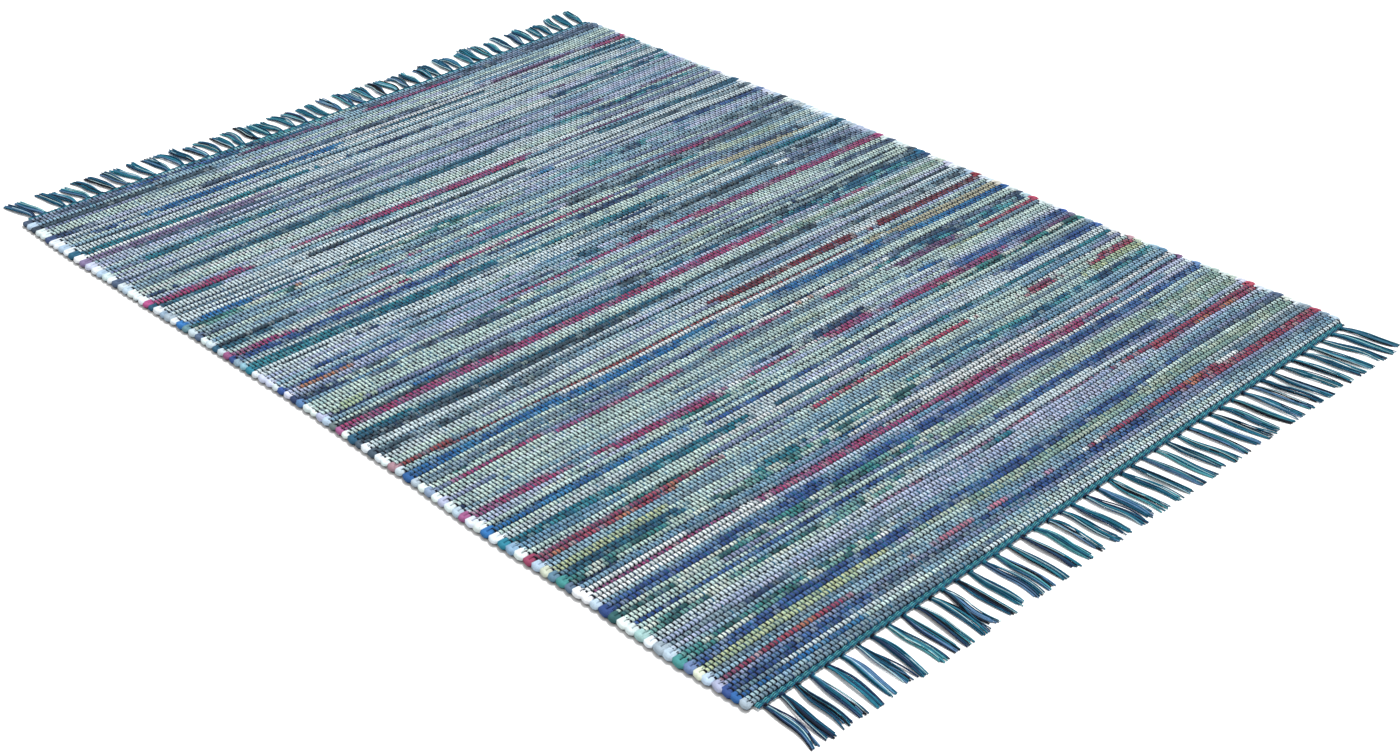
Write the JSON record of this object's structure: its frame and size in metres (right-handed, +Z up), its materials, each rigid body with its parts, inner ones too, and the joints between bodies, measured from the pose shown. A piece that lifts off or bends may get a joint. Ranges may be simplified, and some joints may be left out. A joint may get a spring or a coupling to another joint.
{
  "type": "rag rug",
  "caption": "Flat oblong rag rug, plain-woven in thick striped rag weft on a cotton warp, with looped selvedges, twined headings and a tassel fringe at both ends.",
  "frame": {"origin": "on the floor under the middle of the whole rug, fringes included", "axes": "+X along the weft, +Y along the warp towards the far fringe, +Z up from the floor"},
  "size_m": [1.4158, 2.1312, 0.0075],
  "materials": {
    "rag_weft": "thick woven rags in pale mint, grey-blue, lavender and teal stripes with magenta, red and royal blue accents, matt",
    "teal_cotton": "loose cotton yarn in teal, petrol and navy, matt"
  },
  "bodies": {
    "root": {"rug_cloth": "rag_weft", "fringe_near": "teal_cotton", "fringe_far": "teal_cotton"}
  },
  "joints": []
}
